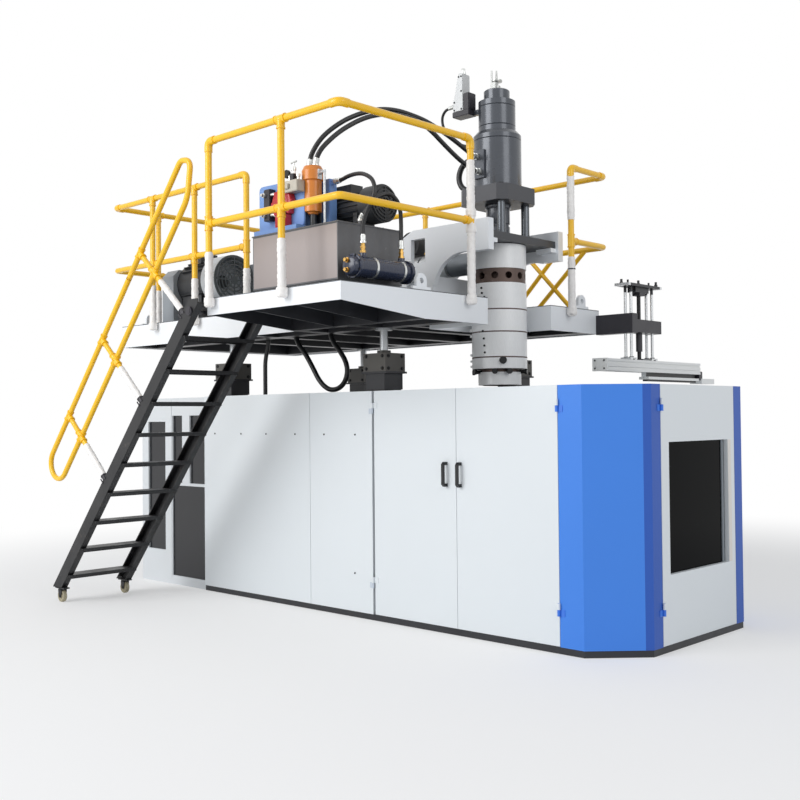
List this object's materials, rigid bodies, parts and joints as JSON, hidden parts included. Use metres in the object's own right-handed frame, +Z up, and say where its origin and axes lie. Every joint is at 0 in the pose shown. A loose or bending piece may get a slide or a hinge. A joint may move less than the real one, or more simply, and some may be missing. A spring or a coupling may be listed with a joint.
{
  "type": "accumulator blow moulding machine",
  "caption": "Blow moulding machine: a panelled mould clamp with doors and a window under a railed platform that carries the extruder, accumulator head, hydraulics, stair and take-out arm.",
  "frame": {"origin": "on the floor, straight under the axis of the accumulator head and die", "axes": "+X along the machine towards the window end, +Y away from the operator's side, +Z up"},
  "size_m": [5.299, 4.3089, 4.205],
  "materials": {
    "panel_white": "smooth light grey powder coat",
    "panel_blue": "smooth blue powder coat",
    "black_paint": "satin black paint",
    "yellow_paint": "gloss safety yellow paint",
    "white_paint": "white enamel",
    "cabinet_grey": "light grey powder coat with dark panes",
    "deck_steel": "chequer plate, dark grey",
    "hinge_steel": "painted steel",
    "chromed_bar": "ground and chromed",
    "plate_steel": "grey enamel",
    "cylinder_paint": "dark grey enamel",
    "screw_steel": "turned steel",
    "motor_dark": "dark grey enamel on cast ribs",
    "cowl_grey": "pressed sheet, grey paint",
    "guard_grey": "grey enamel",
    "gearbox_grey": "grey enamel",
    "barrel_steel": "nitrided steel and band heaters",
    "blower_black": "moulded black",
    "head_brown": "heat-tinted steel",
    "band_steel": "stainless sheet",
    "dark_plate": "blackened steel",
    "head_cylinder_grey": "dark grey enamel",
    "valve_grey": "grey enamel and black plastic",
    "tank_paint": "warm grey enamel",
    "pump_blue": "blue enamel with a red pump",
    "filter_orange": "orange enamel",
    "cooler_blue": "very dark blue enamel",
    "bracket_black": "satin black paint",
    "mould_alu": "milled aluminium",
    "arm_alu": "anodised aluminium profile",
    "lift_steel": "chromed rods with black plates",
    "glass_dark": "tinted safety pane",
    "wheel_plastic": "grey nylon",
    "hose_rubber": "black hydraulic hose"
  },
  "bodies": {
    "frame": {"base_frame": "black_paint", "front_panels": "panel_white", "rear_panels": "panel_white", "corner_panels": "panel_blue", "hinges": "hinge_steel", "tie_bars": "chromed_bar", "clamp_end_plates": "plate_steel", "clamp_cylinder": "cylinder_paint", "support_columns": "black_paint", "control_cabinet": "cabinet_grey"},
    "platform": {"deck_frame": "black_paint", "deck_plate": "deck_steel", "fascia": "white_paint", "jack_screws": "screw_steel", "front_railing": "yellow_paint", "left_railing": "yellow_paint", "rear_railing": "yellow_paint", "main_motor": "motor_dark", "motor_cowl": "cowl_grey", "belt_guard": "guard_grey", "gearbox": "gearbox_grey", "barrel": "barrel_steel", "barrel_blowers": "blower_black", "head_support": "white_paint", "head_core": "head_brown", "heater_bands": "band_steel", "head_plates": "dark_plate", "head_cylinder": "head_cylinder_grey", "servo_valve": "valve_grey", "oil_tank": "tank_paint", "pump_motor": "motor_dark", "pump_guard": "pump_blue", "oil_filter": "filter_orange", "oil_cooler": "cooler_blue", "takeout_beam": "bracket_black", "hose_supply": "hose_rubber", "hose_return": "hose_rubber", "cooler_hose_front": "hose_rubber", "cooler_hose_rear": "hose_rubber", "lower_hose": "hose_rubber", "loop_hose": "hose_rubber", "cylinder_hose": "hose_rubber", "servo_hose": "hose_rubber"},
    "stair": {"stair_frame": "black_paint", "stair_handrail": "yellow_paint"},
    "front_wheel": {"stair_wheel_front": "wheel_plastic"},
    "rear_wheel": {"stair_wheel_rear": "wheel_plastic"},
    "left_door": {"door_left": "panel_white"},
    "right_door": {"door_right": "panel_white"},
    "end_door": {"window_door": "panel_white", "window_pane": "glass_dark"},
    "left_clamp": {"platen_left": "plate_steel", "mould_half_left": "mould_alu"},
    "right_clamp": {"platen_right": "plate_steel", "mould_half_right": "mould_alu"},
    "pin": {"blow_pin": "screw_steel"},
    "screw": {"extruder_screw": "screw_steel"},
    "lift": {"takeout_lift": "lift_steel", "takeout_arm": "arm_alu"},
    "reach": {"takeout_slide": "arm_alu"}
  },
  "joints": [
    {"name": "platform_lift", "type": "slide", "parent": "frame", "child": "platform", "axis": [0, 0, 1], "range_m": [0, 0.1]},
    {"name": "stair_tilt", "type": "hinge", "parent": "platform", "child": "stair", "pos_m": [-1.14, -1.721, 2.27], "axis": [0, -1, 0], "range_deg": [0, 3.3]},
    {"name": "front_wheel_roll", "type": "hinge", "parent": "stair", "child": "front_wheel", "pos_m": [-3.00725, -1.965, 0.05], "axis": [0, 1, 0], "continuous": true},
    {"name": "rear_wheel_roll", "type": "hinge", "parent": "stair", "child": "rear_wheel", "pos_m": [-3.00725, -1.477, 0.05], "axis": [0, 1, 0], "continuous": true},
    {"name": "left_door_hinge", "type": "hinge", "parent": "frame", "child": "left_door", "pos_m": [-0.476, -0.929, 0.3], "axis": [0, 0, -1], "range_deg": [0, 110]},
    {"name": "right_door_hinge", "type": "hinge", "parent": "frame", "child": "right_door", "pos_m": [1.188, -0.929, 0.3], "axis": [0, 0, 1], "range_deg": [0, 110]},
    {"name": "window_door_hinge", "type": "hinge", "parent": "frame", "child": "end_door", "pos_m": [1.689, -0.499, 0.3], "axis": [0, 0, -1], "range_deg": [0, 110]},
    {"name": "left_platen_slide", "type": "slide", "parent": "frame", "child": "left_clamp", "axis": [1, 0, 0], "range_m": [0, 0.3]},
    {"name": "right_platen_slide", "type": "slide", "parent": "frame", "child": "right_clamp", "axis": [-1, 0, 0], "range_m": [0, 0.3]},
    {"name": "blow_pin_lift", "type": "slide", "parent": "frame", "child": "pin", "axis": [0, 0, 1], "range_m": [0, 0.06]},
    {"name": "screw_turn", "type": "hinge", "parent": "platform", "child": "screw", "pos_m": [-1.5, 0, 2.72], "axis": [1, 0, 0], "continuous": true},
    {"name": "takeout_lift_slide", "type": "slide", "parent": "platform", "child": "lift", "axis": [0, 0, 1], "range_m": [-0.06, 0.05]},
    {"name": "takeout_reach", "type": "slide", "parent": "lift", "child": "reach", "axis": [0, -1, 0], "range_m": [0, 0.6]}
  ],
  "couplings": [
    {"joint": "right_platen_slide", "follows": "left_platen_slide", "ratio": 1},
    {"joint": "stair_tilt", "follows": "platform_lift", "rad_per_m": 0.545}
  ]
}
